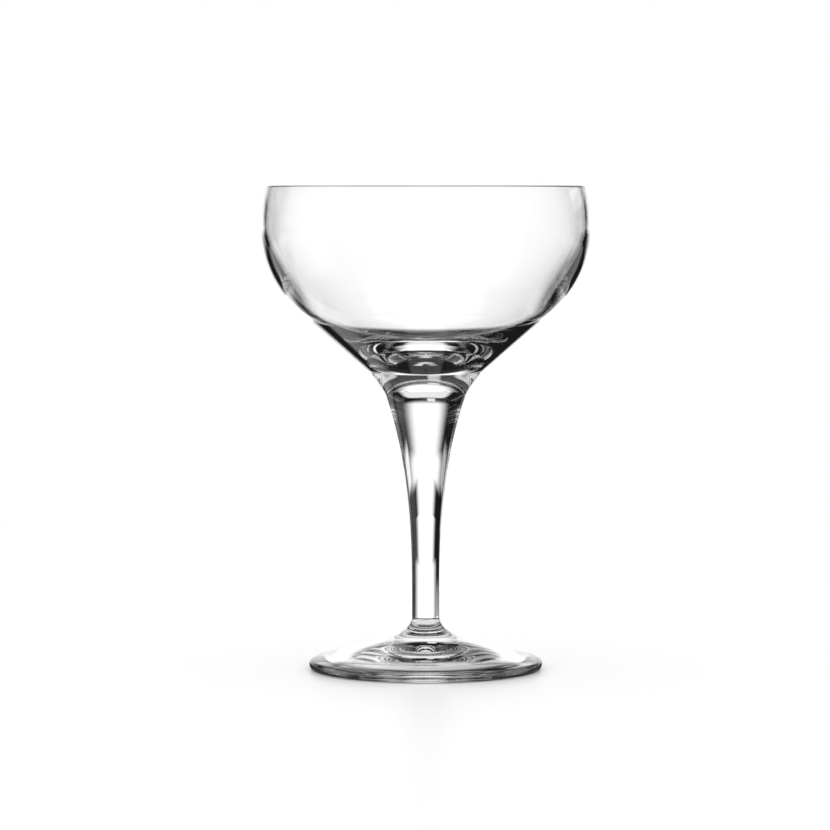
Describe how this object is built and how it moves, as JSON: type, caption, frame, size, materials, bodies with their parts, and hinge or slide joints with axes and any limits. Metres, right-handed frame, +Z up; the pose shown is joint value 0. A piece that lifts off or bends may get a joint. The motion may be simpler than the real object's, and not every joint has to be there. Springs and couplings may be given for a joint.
{
  "type": "coupe glass",
  "caption": "Stemmed coupe glass: a wide, shallow round bowl on a solid trumpet stem and a low domed foot, for serving sparkling wine and cocktails.",
  "frame": {"origin": "centre of the flat ring under the foot, on the surface that the glass stands on", "axes": "+Z up along the axis of the stem, from the foot to the rim; the glass is round about it, so X and Y are free"},
  "size_m": [0.095, 0.095, 0.14],
  "materials": {
    "clear_glass": "clear, fire-polished"
  },
  "bodies": {
    "root": {"bowl": "clear_glass", "stem": "clear_glass", "foot": "clear_glass"}
  },
  "joints": []
}
